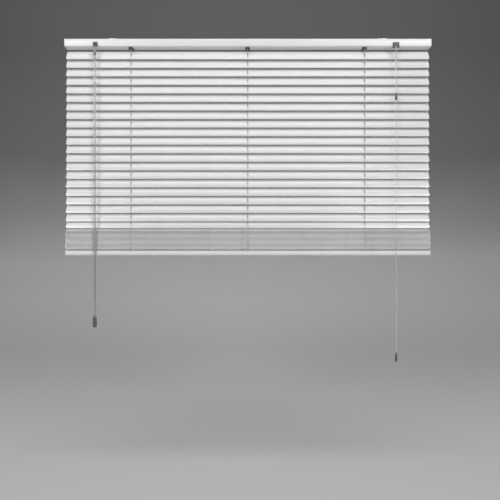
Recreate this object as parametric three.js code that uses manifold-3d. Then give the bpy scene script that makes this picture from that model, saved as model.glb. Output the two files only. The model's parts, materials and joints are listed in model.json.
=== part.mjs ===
// Venetian blind with 25 mm aluminium slats, partly raised, with its slats tilted closed.
// Millimetres, +Z up, room side towards -Y. The origin is the middle of the ceiling plane
// that the two top brackets are screwed to, so the whole blind hangs below z = 0.
import * as THREE from 'three';
import { mergeVertices } from 'three/addons/utils/BufferGeometryUtils.js';
import Module from 'manifold-3d';

const wasm = await Module();
wasm.setup();

// ---- driving dimensions --------------------------------------------------
const GAP = 0.3;                    // clearance between neighbouring pieces

const BLIND_WIDTH = 900;            // headrail with its end caps
const RAIL_DEPTH = 25;              // front to back
const RAIL_HEIGHT = 18.5;
const RAIL_TOP = -1.5;
const RAIL_BOTTOM = RAIL_TOP - RAIL_HEIGHT;
const SHEET = 0.6;                  // folded steel
const LIP = 3;                      // inward fold along the top edges
const CAP = 1.5;                    // end cap plate

const SLAT_LENGTH = 895;
const SLAT_WIDTH = 25;
const SLAT_CROWN = 1.5;             // rise of the slat's curve
const SLAT_SHEET = 0.21;
const SLAT_COUNT = 21;              // slats that hang open on the ladders
const FIRST_SLAT = -38.1;           // tilt axis of the top slat
const PITCH = 21;                   // ladder spacing
const LAST_SLAT = -453.6;           // the lowest one is already partly gathered
const TILT = THREE.MathUtils.degToRad(65);

const ROUT = { along: 1.2, across: 4.8 };  // half sizes of the holes that the lift cords run through

const STACK_COUNT = 27;             // gathered slats
const STACK_PITCH = 1.95;
const STACK_TOP = -467.9;
// slope of the gathered slats: they lean forward, least at the two ends of the stack
const STACK_LEAN = { top: 0.25, middle: 0.42, bottom: 0.05, onset: 0.06, release: 0.055 };
const STACK_RIPPLE = { slope: 0.06, start: -2.04, turn: 0.785 };  // they lie in soft waves
const STACK_SPINE = 3;              // the bundle of cords and rungs that joins the stack

const BOTTOM_RAIL_TOP = -521.5;
const BOTTOM_RAIL_HEIGHT = 11.5;
const BOTTOM_RAIL_CORNER = 5;

const LADDERS = [-288, 0, 288];     // places of the ladders along the blind
const FIRST_STEP = 3;               // slats 3 to 20 ride on ladder sections of their own
const LAST_STEP = 20;
const THREAD = 0.35;                // radius of a ladder thread
const STRAND_Y = 6.2;               // ladder strands stand just clear of the closed slats

const ROD = { y: 2, z: -12.5, radius: 2.6, start: -396, end: 304 };
const DRUM = { radius: 6.2, length: 8 };

const TILTER_X = -373.5;
const GEAR_TEETH = 12;
const GEAR_PITCH = 5;               // pitch radius
const WORM_PITCH = 2.4;             // pitch radius
const WORM_LEAD = 2 * Math.PI * GEAR_PITCH / GEAR_TEETH;
const WORM_SLOPE = THREE.MathUtils.degToRad(40);
const EYE_Y = -18.5;                // where the wand hangs

const WAND = { radius: 2.7, top: -35, bottom: -690 };
const GRIP = { radius: 4.7, top: -682, bottom: -707.5 };

const LOCK_X = 362;
const CORD_Y = -16.5;               // the pull cord hangs clear of the turning slats
const CONNECTOR = { top: -135.5, bottom: -152.8, radius: 3.2 };
const TASSEL = { top: -769.6, bottom: -791.6, radius: 3 };

// ---- materials -------------------------------------------------------------
const finish = (color, roughness, metalness = 0) =>
  new THREE.MeshStandardMaterial({ color, roughness, metalness });
const WHITE_PAINT = finish(0xf1f2f2, 0.4);
const WHITE_SLAT = finish(0xf4f5f5, 0.35);
const WHITE_CORD = finish(0xe4e4e2, 0.9);
const WHITE_PLASTIC = finish(0xeeeeec, 0.5);
const GREY_PLASTIC = finish(0x6f7070, 0.5);
const CLEAR_ACRYLIC = finish(0xb9bcbd, 0.15);
const STEEL = finish(0xb4b6b8, 0.35, 1);
const BRASS = finish(0xb39b5a, 0.35, 1);

// ---- helpers -----------------------------------------------------------------
const blind = new THREE.Group();

function solid(geometry) {
  const bare = geometry.clone();
  bare.deleteAttribute('normal');
  bare.deleteAttribute('uv');
  const welded = mergeVertices(bare, 1e-4);
  return new wasm.Manifold(new wasm.Mesh({
    numProp: 3,
    vertProperties: new Float32Array(welded.attributes.position.array),
    triVerts: new Uint32Array(welded.index.array),
  }));
}

function geometryOf(manifold) {
  const mesh = manifold.getMesh();
  const geometry = new THREE.BufferGeometry();
  geometry.setAttribute('position', new THREE.BufferAttribute(mesh.vertProperties, 3));
  geometry.setIndex(new THREE.BufferAttribute(mesh.triVerts, 1));
  geometry.computeVertexNormals();
  return geometry;
}

const union = (first, ...rest) => geometryOf(rest.reduce((sum, g) => sum.add(solid(g)), solid(first)));
const cut = (first, ...tools) => geometryOf(tools.reduce((sum, g) => sum.subtract(solid(g)), solid(first)));

function piece(name, geometry, material, position = [0, 0, 0], rotation = [0, 0, 0]) {
  const mesh = new THREE.Mesh(geometry, material);
  mesh.name = name;
  mesh.position.set(...position);
  mesh.rotation.set(...rotation);
  blind.add(mesh);
}

// a box from its limits on each axis
function box(x, y, z) {
  const geometry = new THREE.BoxGeometry(x[1] - x[0], y[1] - y[0], z[1] - z[0]);
  return geometry.translate((x[0] + x[1]) / 2, (y[0] + y[1]) / 2, (z[0] + z[1]) / 2);
}

// a (y, z) outline drawn as a shape, extruded from x0 to x1
function alongX(shape, x0, x1, steps = 1) {
  const geometry = new THREE.ExtrudeGeometry(shape, {
    depth: x1 - x0, steps, bevelEnabled: false, curveSegments: 3,
  });
  const axes = [new THREE.Vector3(0, 1, 0), new THREE.Vector3(0, 0, 1), new THREE.Vector3(1, 0, 0)];
  return geometry.applyMatrix4(new THREE.Matrix4().makeBasis(...axes)).translate(x0, 0, 0);
}

// a round bar between two points
function bar(from, to, radius, sides = 8) {
  const direction = to.clone().sub(from);
  const geometry = new THREE.CylinderGeometry(radius, radius, direction.length(), sides);
  const turn = new THREE.Quaternion().setFromUnitVectors(new THREE.Vector3(0, 1, 0), direction.normalize());
  const middle = from.clone().add(to).multiplyScalar(0.5);
  return geometry.applyQuaternion(turn).translate(middle.x, middle.y, middle.z);
}

// a solid of revolution about Z from (radius, z) points
function turned(points, sides = 16) {
  const profile = points.map(([r, z]) => new THREE.Vector2(r, z));
  return new THREE.LatheGeometry(profile, sides).rotateX(Math.PI / 2);
}

// a rectangle in (y, z) with its lower corners rounded
function roundedBelow(shape, halfWidth, top, bottom, radius) {
  shape.moveTo(-halfWidth, top);
  shape.lineTo(-halfWidth, bottom + radius);
  shape.quadraticCurveTo(-halfWidth, bottom, -halfWidth + radius, bottom);
  shape.lineTo(halfWidth - radius, bottom);
  shape.quadraticCurveTo(halfWidth, bottom, halfWidth, bottom + radius);
  shape.lineTo(halfWidth, top);
  return shape;
}

const at = (x, y, z) => new THREE.Vector3(x, y, z);

// ---- headrail ------------------------------------------------------------------
const RAIL_HALF = RAIL_DEPTH / 2;
const RAIL_CORNER = 1.6;
const RAIL_END = BLIND_WIDTH / 2 - CAP - GAP;
const LADDER_SLOT = { x: 2.6, front: -8, back: 8.5 };
// notches in the front wall for the tilter's hood and the cord lock's nose
const HOOD_NOTCH = { half: 5.4, top: -10.3 };
const NOSE_NOTCH = { half: 7.1, top: -12.2 };

function headrail() {
  const floor = RAIL_BOTTOM + SHEET;
  const wall = RAIL_HALF - SHEET;
  const section = roundedBelow(new THREE.Shape(), RAIL_HALF, RAIL_TOP, RAIL_BOTTOM, RAIL_CORNER);
  section.lineTo(RAIL_HALF - LIP, RAIL_TOP);
  section.lineTo(RAIL_HALF - LIP, RAIL_TOP - SHEET);
  section.lineTo(wall, RAIL_TOP - SHEET);
  section.lineTo(wall, floor + 1);
  section.lineTo(wall - 1, floor);
  section.lineTo(1 - wall, floor);
  section.lineTo(-wall, floor + 1);
  section.lineTo(-wall, RAIL_TOP - SHEET);
  section.lineTo(LIP - RAIL_HALF, RAIL_TOP - SHEET);
  section.lineTo(LIP - RAIL_HALF, RAIL_TOP);
  const below = [RAIL_BOTTOM - 1, floor + 0.3];
  const slots = LADDERS.map((x) =>
    box([x - LADDER_SLOT.x, x + LADDER_SLOT.x], [LADDER_SLOT.front, LADDER_SLOT.back], below));
  const notches = [[TILTER_X, HOOD_NOTCH], [LOCK_X, NOSE_NOTCH]].map(([x, { half, top }]) =>
    box([x - half, x + half], [-RAIL_HALF - 1, -RAIL_HALF + 3], [RAIL_BOTTOM - 1, top]));
  return cut(alongX(section, -RAIL_END, RAIL_END), ...slots, ...notches);
}
piece('headrail', headrail(), WHITE_PAINT);

// a plate over the end of the headrail, with a tongue that plugs into it
function endCap() {
  const plate = alongX(
    roundedBelow(new THREE.Shape(), RAIL_HALF, RAIL_TOP, RAIL_BOTTOM, RAIL_CORNER), 0, CAP);
  const tongueHalf = RAIL_HALF - SHEET - GAP;
  const tongue = alongX(
    roundedBelow(new THREE.Shape(), tongueHalf, RAIL_TOP - 4, RAIL_BOTTOM + SHEET + GAP, 1.2), -9, CAP / 2);
  const hollow = box([-10, -0.6], [1.4 - tongueHalf, tongueHalf - 1.4], [RAIL_BOTTOM + 2.2, 0]);
  return union(cut(tongue, hollow), plate);
}
piece('end_cap_right', endCap(), WHITE_PLASTIC, [BLIND_WIDTH / 2 - CAP, 0, 0]);
piece('end_cap_left', endCap(), WHITE_PLASTIC, [CAP - BLIND_WIDTH / 2, 0, 0], [0, 0, Math.PI]);

// ---- top brackets: a plate on the ceiling with two legs that snap under the lips -----
const BRACKET_X = 330;
const BRACKET_LENGTH = 22;
const BRACKET_PLATE = 1.2;

function bracket() {
  const half = 10.5;
  const barb = RAIL_HALF - SHEET - GAP;
  const inside = RAIL_HALF - LIP - GAP;
  const under = RAIL_TOP - SHEET - GAP;
  const section = new THREE.Shape();
  section.moveTo(-half, 0);
  section.lineTo(-half, -BRACKET_PLATE);
  section.lineTo(-inside, -BRACKET_PLATE);
  section.lineTo(-inside, under);
  section.lineTo(-barb, under - 0.4);
  section.lineTo(-inside + 1, under - 3);
  section.lineTo(-inside + 1, -BRACKET_PLATE);
  section.lineTo(inside - 1, -BRACKET_PLATE);
  section.lineTo(inside - 1, under - 3);
  section.lineTo(barb, under - 0.4);
  section.lineTo(inside, under);
  section.lineTo(inside, -BRACKET_PLATE);
  section.lineTo(half, -BRACKET_PLATE);
  section.lineTo(half, 0);
  const screwHoles = [-6, 6].map((x) =>
    bar(at(x, 0, 1), at(x, 0, -BRACKET_PLATE - 1), 2.25, 16));
  return cut(alongX(section, -BRACKET_LENGTH / 2, BRACKET_LENGTH / 2), ...screwHoles);
}
piece('bracket_left', bracket(), STEEL, [-BRACKET_X, 0, 0]);
piece('bracket_right', bracket(), STEEL, [BRACKET_X, 0, 0]);

// ---- tilt rod with its three drums -----------------------------------------------
function tiltRod() {
  const rod = bar(at(ROD.start, ROD.y, ROD.z), at(ROD.end, ROD.y, ROD.z), ROD.radius, 6);
  const drums = LADDERS.map((x) => {
    const half = DRUM.length / 2;
    const core = bar(at(x - half, ROD.y, ROD.z), at(x + half, ROD.y, ROD.z), DRUM.radius - 1, 16);
    const flanges = [-half, half - 1].map((dx) =>
      bar(at(x + dx, ROD.y, ROD.z), at(x + dx + 1, ROD.y, ROD.z), DRUM.radius, 16));
    return [core, ...flanges];
  });
  return union(rod, ...drums.flat());
}
piece('tilt_rod', tiltRod(), STEEL);

// ---- tilter: a worm on a sloping shaft turns a gear on the rod -------------------------
// Unit vectors in the (y, z) plane: down the worm's shaft, and from the gear to the worm.
const downShaft = at(0, -Math.cos(WORM_SLOPE), -Math.sin(WORM_SLOPE));
const toWorm = at(0, -Math.sin(WORM_SLOPE), Math.cos(WORM_SLOPE));
const gearCentre = at(TILTER_X, ROD.y, ROD.z);
const wormCentre = gearCentre.clone().addScaledVector(toWorm, GEAR_PITCH + WORM_PITCH);
const toEye = (wormCentre.y - EYE_Y) / Math.cos(WORM_SLOPE);
const eye = wormCentre.clone().addScaledVector(downShaft, toEye);

function tilterGear() {
  const root = GEAR_PITCH - 1;
  const tip = GEAR_PITCH + 0.7;
  const rootHalf = 0.6 / root;
  const tipHalf = 0.3 / tip;
  const width = 5;
  const spacing = 2 * Math.PI / GEAR_TEETH;
  // a space, not a tooth, faces the worm
  const start = Math.atan2(toWorm.z, toWorm.y) + spacing / 2;
  const section = new THREE.Shape();
  for (let tooth = 0; tooth < GEAR_TEETH; tooth += 1) {
    const centre = start + tooth * spacing;
    const corners = [[root, -rootHalf], [tip, -tipHalf], [tip, tipHalf], [root, rootHalf]];
    corners.forEach(([radius, turn], i) => {
      const y = radius * Math.cos(centre + turn);
      const z = radius * Math.sin(centre + turn);
      if (tooth === 0 && i === 0) section.moveTo(y, z);
      else section.lineTo(y, z);
    });
  }
  const gear = alongX(section, -width / 2, width / 2, 2);
  // the teeth lean with the worm's thread
  const lead = WORM_LEAD / (2 * Math.PI * WORM_PITCH * GEAR_PITCH);
  const points = gear.attributes.position;
  for (let i = 0; i < points.count; i += 1) {
    const p = at(points.getX(i), points.getY(i), points.getZ(i));
    p.applyAxisAngle(at(1, 0, 0), p.x * lead);
    points.setXYZ(i, p.x, p.y, p.z);
  }
  const bore = bar(at(-width, 0, 0), at(width, 0, 0), ROD.radius + GAP, 12);
  return cut(gear, bore);
}
piece('tilter_gear', tilterGear(), WHITE_PLASTIC, gearCentre.toArray());

// A shaft with a one-start thread, made as rings of points whose radius follows the helix.
// Local Z runs down the shaft and local X points away from the gear.
function threadedShaft(start, end, threadHalf) {
  const around = 18;
  const shaft = WORM_PITCH - 1;
  const height = 1.7;
  const rows = Math.round((end - start) / (WORM_LEAD / 8));
  const positions = [0, 0, start];
  for (let row = 0; row <= rows; row += 1) {
    const z = start + (end - start) * row / rows;
    for (let side = 0; side < around; side += 1) {
      const angle = 2 * Math.PI * side / around;
      const turns = (z / WORM_LEAD) - (angle - Math.PI) / (2 * Math.PI);
      const offset = Math.abs(turns - Math.round(turns)) * WORM_LEAD;
      const ridge = THREE.MathUtils.clamp((0.62 - offset) / 0.36, 0, 1);
      const fade = THREE.MathUtils.clamp(threadHalf - Math.abs(z), 0, 1);
      const radius = shaft + height * ridge * fade;
      positions.push(radius * Math.cos(angle), radius * Math.sin(angle), z);
    }
  }
  positions.push(0, 0, end);
  const index = [];
  const ring = (row, side) => 1 + row * around + (side % around);
  const last = positions.length / 3 - 1;
  for (let side = 0; side < around; side += 1) {
    index.push(0, ring(0, side + 1), ring(0, side));
    index.push(last, ring(rows, side), ring(rows, side + 1));
    for (let row = 0; row < rows; row += 1) {
      index.push(ring(row, side), ring(row, side + 1), ring(row + 1, side + 1));
      index.push(ring(row, side), ring(row + 1, side + 1), ring(row + 1, side));
    }
  }
  const geometry = new THREE.BufferGeometry();
  geometry.setAttribute('position', new THREE.Float32BufferAttribute(positions, 3));
  geometry.setIndex(index);
  return geometry;
}

// The worm's eye and the wand's hook are linked like two links of a chain.
const LINK = { radius: 2.2, wire: 0.5, offset: 1.45 };

function tilterWorm() {
  const thread = threadedShaft(-4.2, 4.6, 4);
  const stemEnd = toEye - LINK.offset - LINK.radius;
  const stem = bar(at(0, 0, 4.2), at(0, 0, stemEnd), 1.3, 12);
  // the ring lies in the plane of the shaft and the blind's length
  const ring = new THREE.TorusGeometry(LINK.radius, LINK.wire, 8, 20);
  ring.rotateY(Math.PI / 2).translate(0, 0, toEye - LINK.offset);
  const worm = union(thread, stem, ring);
  const sideways = new THREE.Vector3().crossVectors(downShaft, toWorm);
  return worm.applyMatrix4(new THREE.Matrix4().makeBasis(toWorm, sideways, downShaft));
}
piece('tilter_worm', tilterWorm(), STEEL, wormCentre.toArray());

// the tilter's and the cord lock's frames stand inside the headrail, clear of its corners
const FRAME_TOP = -4;
const FRAME_BOTTOM = RAIL_BOTTOM + SHEET + 1.1;
const TILTER_HALF = 5.9;
const HOOD = { front: -16.5, bottom: -22.3, wall: 1.2, mouthHalf: 3.2, mouthTop: -15 };

// a frame around the worm and gear, with a hood that comes out through the headrail's front
function tilterHousing() {
  const { front: face, bottom, wall, mouthHalf, mouthTop } = HOOD;
  const half = TILTER_HALF;
  const hoodHalf = HOOD_NOTCH.half - GAP;
  const front = GAP + SHEET - RAIL_HALF;
  const floor = RAIL_BOTTOM + SHEET + GAP;
  const back = 10.2;
  const frame = box([-half, half], [front, back], [FRAME_BOTTOM, FRAME_TOP]);
  const hood = box([-hoodHalf, hoodHalf], [face, front + 1], [floor, HOOD_NOTCH.top - GAP]);
  const skirt = box([-hoodHalf, hoodHalf], [face, -RAIL_HALF - GAP], [bottom, floor + 1]);
  const room = box([wall - half, half - wall], [front + wall, back - wall], [floor - 1, 0]);
  const mouth = box([-mouthHalf, mouthHalf], [face - 1, -RAIL_HALF - 0.2], [bottom - 1, mouthTop]);
  const rodWay = bar(at(-half - 1, ROD.y, ROD.z), at(half + 1, ROD.y, ROD.z), ROD.radius + 0.5, 12);
  const from = wormCentre.clone().addScaledVector(downShaft, 4).setX(0);
  const to = wormCentre.clone().addScaledVector(downShaft, 18).setX(0);
  const stemWay = bar(from, to, 2.1, 12);
  return cut(union(frame, hood, skirt), room, mouth, rodWay, stemWay);
}
piece('tilter_housing', tilterHousing(), GREY_PLASTIC, [TILTER_X, 0, 0]);

// ---- wand ----------------------------------------------------------------------------
function wandHook() {
  const ring = new THREE.TorusGeometry(LINK.radius, LINK.wire, 8, 20).rotateY(Math.PI / 2);
  ring.translate(0, 0, -LINK.offset);
  const top = -LINK.offset - LINK.radius;
  return union(ring, bar(at(0, 0, top), at(0, 0, top - 16), 0.6, 8));
}
piece('wand_hook', wandHook(), STEEL, eye.toArray());

const SLEEVE_TOP = -27;
const SLEEVE_BOTTOM = -44;
function wandSleeve() {
  const inside = WAND.radius + 0.35;
  const outside = inside + 0.7;
  return turned([
    [inside, SLEEVE_BOTTOM], [outside, SLEEVE_BOTTOM], [outside, SLEEVE_TOP + 1],
    [outside - 0.5, SLEEVE_TOP], [inside, SLEEVE_TOP], [inside, SLEEVE_BOTTOM],
  ]);
}
piece('wand_sleeve', wandSleeve(), CLEAR_ACRYLIC, [TILTER_X, EYE_Y, 0]);

function wand() {
  const bore = 0.95;
  const boreBottom = WAND.top - 10;
  return turned([
    [0, WAND.bottom], [WAND.radius, WAND.bottom], [WAND.radius, WAND.top], [bore, WAND.top],
    [bore, boreBottom], [0, boreBottom],
  ], 12);
}
piece('wand', wand(), CLEAR_ACRYLIC, [TILTER_X, EYE_Y, 0]);

function wandGrip() {
  const bore = WAND.radius + GAP;
  return turned([
    [0, GRIP.bottom], [GRIP.radius - 0.8, GRIP.bottom], [GRIP.radius, GRIP.bottom + 1.2],
    [GRIP.radius, GRIP.top - 4], [bore + 0.7, GRIP.top], [bore, GRIP.top],
    [bore, WAND.bottom - GAP], [0, WAND.bottom - GAP],
  ]);
}
piece('wand_grip', wandGrip(), GREY_PLASTIC, [TILTER_X, EYE_Y, 0]);

// ---- cord lock ------------------------------------------------------------------------
const ROLLER = { radius: 2.8, half: 4.6, y: -5, z: -10, pin: 0.9, pinEnd: 7 };
const ROLLER_RISE = at(0, 1.5, 2.6);  // the roller lifts back and up to let the cords run
// the nose seen from the room: a straight block with a slight waist and a flared mouth
const NOSE = { depth: 5.9, top: 7.3, waist: 6.6, mouth: 8.2, bottom: -24.4 };
const LOCK_HALF = 7.7;
const CORD_ROOM = 1.8;              // half width of the cords' way through the lock

function cordLockBody() {
  const front = GAP + SHEET - RAIL_HALF;
  const floor = RAIL_BOTTOM + SHEET + GAP;
  const half = LOCK_HALF;
  const wall = 1.4;
  const back = 7;
  const frame = box([-half, half], [front, back], [FRAME_BOTTOM, FRAME_TOP]);
  const room = box([wall - half, half - wall], [front + wall, back - wall], [floor + wall, 0]);
  const neck = box([-6.5, 6.5], [-RAIL_HALF - 1.5, front + 1], [floor, NOSE_NOTCH.top - GAP]);
  // slots in the side walls guide the roller's pins
  const slotStart = at(0, ROLLER.y, ROLLER.z);
  const slotEnd = slotStart.clone().add(ROLLER_RISE);
  const slotTurn = Math.atan2(ROLLER_RISE.z, ROLLER_RISE.y);
  const slotReach = ROLLER_RISE.length() / 2 + ROLLER.pin + GAP;
  const slotMiddle = slotStart.clone().add(slotEnd).multiplyScalar(0.5);
  const pinSlots = new THREE.BoxGeometry(20, 2 * slotReach, 2 * (ROLLER.pin + GAP));
  pinSlots.rotateX(slotTurn).translate(0, slotMiddle.y, slotMiddle.z);
  const outline = [
    [NOSE.top, NOSE_NOTCH.top - GAP], [NOSE.top, -14.4], [NOSE.waist, -15.4],
    [NOSE.waist, -19.8],
    [NOSE.mouth, -22.4], [NOSE.mouth, NOSE.bottom],
  ];
  const mirrored = [...outline].reverse().map(([x, z]) => [-x, z]);
  const nose = new THREE.Shape([...outline, ...mirrored].map(([x, z]) => new THREE.Vector2(x, z)));
  const block = new THREE.ExtrudeGeometry(nose, { depth: NOSE.depth, bevelEnabled: false });
  block.rotateX(Math.PI / 2).translate(0, -RAIL_HALF - GAP, 0);
  const brow = bar(at(-5.6, -17.2, -16.6), at(5.6, -17.2, -16.6), 2.2, 16);
  // the cords come forward inside the nose, turn down, and leave by an open groove
  const wayFront = -17.8;
  const wayBack = -15.2;
  const across = [-CORD_ROOM, CORD_ROOM];
  const forward = box(across, [wayFront, front + 2], [-18.5, -14]);
  const down = box(across, [wayFront, wayBack], [NOSE.bottom - 1, -14.5]);
  const groove = box(across, [wayFront - 3, wayBack], [NOSE.bottom - 1, -20.4]);
  return cut(union(frame, neck, block, brow), room, pinSlots, forward, down, groove);
}
piece('cord_lock_body', cordLockBody(), GREY_PLASTIC, [LOCK_X, 0, 0]);

function cordLockRoller() {
  const inner = ROLLER.radius - 0.7;
  const { radius, half, pin, pinEnd } = ROLLER;
  const side = [[radius, half - 0.9], [inner, half], [pin, half], [pin, pinEnd], [0, pinEnd]];
  const otherSide = side.map(([r, z]) => [r, -z]).reverse();
  return turned([...otherSide, ...side], 12).rotateY(Math.PI / 2);
}
piece('cord_lock_roller', cordLockRoller(), BRASS, [LOCK_X, ROLLER.y, ROLLER.z]);

// ---- pull cord ---------------------------------------------------------------------------
// A cord with eight sides along a straight hanging route.
function cord(top, bottom, radius, steps) {
  const section = new THREE.Shape();
  for (let side = 0; side < 8; side += 1) {
    const turn = 2 * Math.PI * side / 8;
    const corner = [radius * Math.cos(turn), radius * Math.sin(turn)];
    if (side === 0) section.moveTo(...corner);
    else section.lineTo(...corner);
  }
  const route = new THREE.LineCurve3(at(0, 0, top), at(0, 0, bottom));
  return new THREE.ExtrudeGeometry(section, { steps, bevelEnabled: false, extrudePath: route });
}
const UPPER_CORD_TOP = -18;
const cordPlace = [LOCK_X, CORD_Y, 0];
const upperCord = cord(UPPER_CORD_TOP, CONNECTOR.top + GAP, 0.9, 12);
const lowerCord = cord(CONNECTOR.bottom - GAP, TASSEL.top + GAP, 0.7, 32);
piece('pull_cord_upper', upperCord, WHITE_CORD, cordPlace);
piece('pull_cord_lower', lowerCord, WHITE_CORD, cordPlace);

function cordConnector() {
  const { top, bottom, radius } = CONNECTOR;
  return turned([
    [0, bottom], [radius - 0.9, bottom], [radius, bottom + 1.2], [radius, bottom + 5.5],
    [radius - 0.6, bottom + 9], [1.7, top - 1.5], [1.3, top], [0, top],
  ], 12);
}
piece('cord_connector', cordConnector(), GREY_PLASTIC, cordPlace);

function cordTassel() {
  const { top, bottom, radius } = TASSEL;
  return turned([
    [0, bottom], [radius - 1, bottom], [radius, bottom + 1], [radius - 0.2, bottom + 9],
    [1.9, top - 3], [1.2, top], [0, top],
  ], 12);
}
piece('cord_tassel', cordTassel(), GREY_PLASTIC, cordPlace);

// ---- slats ------------------------------------------------------------------------------
const ARC_STEPS = 6;

// height of the slat's underside over its chord
const crownAt = (y) => SLAT_CROWN * (1 - (2 * y / SLAT_WIDTH) ** 2);

function slat() {
  const edge = (i) => SLAT_WIDTH * (i / ARC_STEPS - 0.5);
  const section = new THREE.Shape();
  section.moveTo(edge(0), crownAt(edge(0)));
  for (let i = 1; i <= ARC_STEPS; i += 1) section.lineTo(edge(i), crownAt(edge(i)));
  for (let i = ARC_STEPS; i >= 0; i -= 1) section.lineTo(edge(i), crownAt(edge(i)) + SLAT_SHEET);
  const holes = LADDERS.map((x) =>
    box([x - ROUT.along, x + ROUT.along], [-ROUT.across, ROUT.across], [-1, SLAT_CROWN + 2]));
  return cut(alongX(section, -SLAT_LENGTH / 2, SLAT_LENGTH / 2), ...holes);
}

const slatShape = slat();
const slatAxis = (number) => (number === SLAT_COUNT ? LAST_SLAT : FIRST_SLAT - PITCH * (number - 1));
const twoDigits = (number) => String(number).padStart(2, '0');
for (let number = 1; number <= SLAT_COUNT; number += 1) {
  piece(`slat_${twoDigits(number)}`, slatShape, WHITE_SLAT, [0, 0, slatAxis(number)], [TILT, 0, 0]);
}

// the gathered slats, nested and held together down the middle by cords and rungs
function slatStack() {
  const half = SLAT_WIDTH / 2;
  const steps = [0, 0.5, 1];
  const spine = STACK_SPINE / 2;
  const inward = steps.map((s) => half + (spine - half) * s);
  const { top, middle, bottom, onset, release } = STACK_LEAN;
  const lean = (layer) =>
    Math.min(top + onset * layer, middle, bottom + release * (STACK_COUNT - 1 - layer))
    + STACK_RIPPLE.slope * Math.sin(STACK_RIPPLE.start + STACK_RIPPLE.turn * layer);
  const rise = (y, layer) =>
    STACK_TOP - SLAT_SHEET - SLAT_CROWN - layer * STACK_PITCH + crownAt(y) + y * lean(layer);
  const section = new THREE.Shape();
  section.moveTo(spine, rise(spine, 0) + SLAT_SHEET);
  for (let layer = 0; layer < STACK_COUNT; layer += 1) {
    [...inward].reverse().forEach((y) => section.lineTo(y, rise(y, layer) + SLAT_SHEET));
    inward.forEach((y) => section.lineTo(y, rise(y, layer)));
  }
  for (let layer = STACK_COUNT - 1; layer >= 0; layer -= 1) {
    [...inward].reverse().forEach((y) => section.lineTo(-y, rise(-y, layer)));
    inward.forEach((y) => section.lineTo(-y, rise(-y, layer) + SLAT_SHEET));
  }
  return alongX(section, -SLAT_LENGTH / 2, SLAT_LENGTH / 2);
}
piece('slat_stack', slatStack(), WHITE_SLAT);

// ---- bottom rail ---------------------------------------------------------------------------
function bottomRail() {
  const half = RAIL_DEPTH / 2;
  const bottom = BOTTOM_RAIL_TOP - BOTTOM_RAIL_HEIGHT;
  const section = roundedBelow(new THREE.Shape(), half, BOTTOM_RAIL_TOP, bottom, BOTTOM_RAIL_CORNER);
  const inside = roundedBelow(
    new THREE.Path(), half - SHEET, BOTTOM_RAIL_TOP - SHEET, bottom + SHEET,
    BOTTOM_RAIL_CORNER - SHEET);
  section.holes.push(inside);
  return alongX(section, -SLAT_LENGTH / 2, SLAT_LENGTH / 2);
}
piece('bottom_rail', bottomRail(), WHITE_PAINT);

// ---- middle ladder ------------------------------------------------------------------------------
// Each section is one rung under its slat and the two strands that carry it up to the rung above.
function ladderStep() {
  const below = THREAD + GAP;
  const chord = at(0, Math.cos(TILT), Math.sin(TILT));
  const down = at(0, Math.sin(TILT), -Math.cos(TILT)).multiplyScalar(below);
  const rungEnd = (y) => down.clone().addScaledVector(chord, (y - down.y) / chord.y);
  const front = rungEnd(-STRAND_Y);
  const back = rungEnd(STRAND_Y);
  // the strands stop short of the sloping rung above
  const clearance = THREAD * (1 + Math.sin(TILT)) / Math.cos(TILT) + GAP;
  const length = at(0, 0, PITCH - clearance);
  const strands = [front, back].map((end) => bar(end, end.clone().add(length), THREAD));
  const overrun = chord.clone().multiplyScalar(THREAD);
  const rung = bar(front.clone().sub(overrun), back.clone().add(overrun), THREAD);
  return union(rung, ...strands);
}

const stepShape = ladderStep();
for (let number = FIRST_STEP; number <= LAST_STEP; number += 1) {
  piece(`ladder_step_${twoDigits(number)}`, stepShape, WHITE_CORD, [0, 0, slatAxis(number)]);
}

export default blind;
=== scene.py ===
import json
import math
import random

import bmesh
import bpy
from mathutils import Matrix, Vector


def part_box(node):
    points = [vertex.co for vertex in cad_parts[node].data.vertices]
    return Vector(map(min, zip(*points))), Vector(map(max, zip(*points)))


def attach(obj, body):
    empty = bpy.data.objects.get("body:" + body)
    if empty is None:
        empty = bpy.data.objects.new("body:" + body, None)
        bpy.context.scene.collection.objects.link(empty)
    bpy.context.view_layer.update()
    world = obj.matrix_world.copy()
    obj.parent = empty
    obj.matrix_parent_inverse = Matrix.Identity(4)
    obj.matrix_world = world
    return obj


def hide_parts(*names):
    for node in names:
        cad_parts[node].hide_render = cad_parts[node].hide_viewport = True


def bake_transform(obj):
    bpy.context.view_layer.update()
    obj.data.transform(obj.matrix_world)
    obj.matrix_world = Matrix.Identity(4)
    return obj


# Looks of a partly raised venetian blind with 25 mm slats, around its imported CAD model.
# The scene is in metres, +Z up, room side towards -Y, origin in the ceiling plane of the brackets.
# Shapes are drawn in millimetres and scaled by MM when their mesh is made.
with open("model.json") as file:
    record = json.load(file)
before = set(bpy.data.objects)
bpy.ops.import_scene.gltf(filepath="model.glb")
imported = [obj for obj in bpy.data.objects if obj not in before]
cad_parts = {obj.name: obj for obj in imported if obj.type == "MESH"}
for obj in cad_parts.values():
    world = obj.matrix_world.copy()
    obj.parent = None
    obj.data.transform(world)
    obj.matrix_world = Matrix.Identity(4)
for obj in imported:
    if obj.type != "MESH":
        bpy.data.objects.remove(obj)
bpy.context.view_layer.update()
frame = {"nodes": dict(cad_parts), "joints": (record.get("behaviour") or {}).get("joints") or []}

MM = 0.001
SLAT_WIDTH = 25.0
HALF_SLAT = SLAT_WIDTH / 2 * MM
joints = {joint["name"]: joint for joint in frame["joints"]}
draw = random.Random(7)


def box_mm(node):
    """Lowest and highest corner of a CAD node, in millimetres."""
    low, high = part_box(node)
    return Vector(low) / MM, Vector(high) / MM


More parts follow.
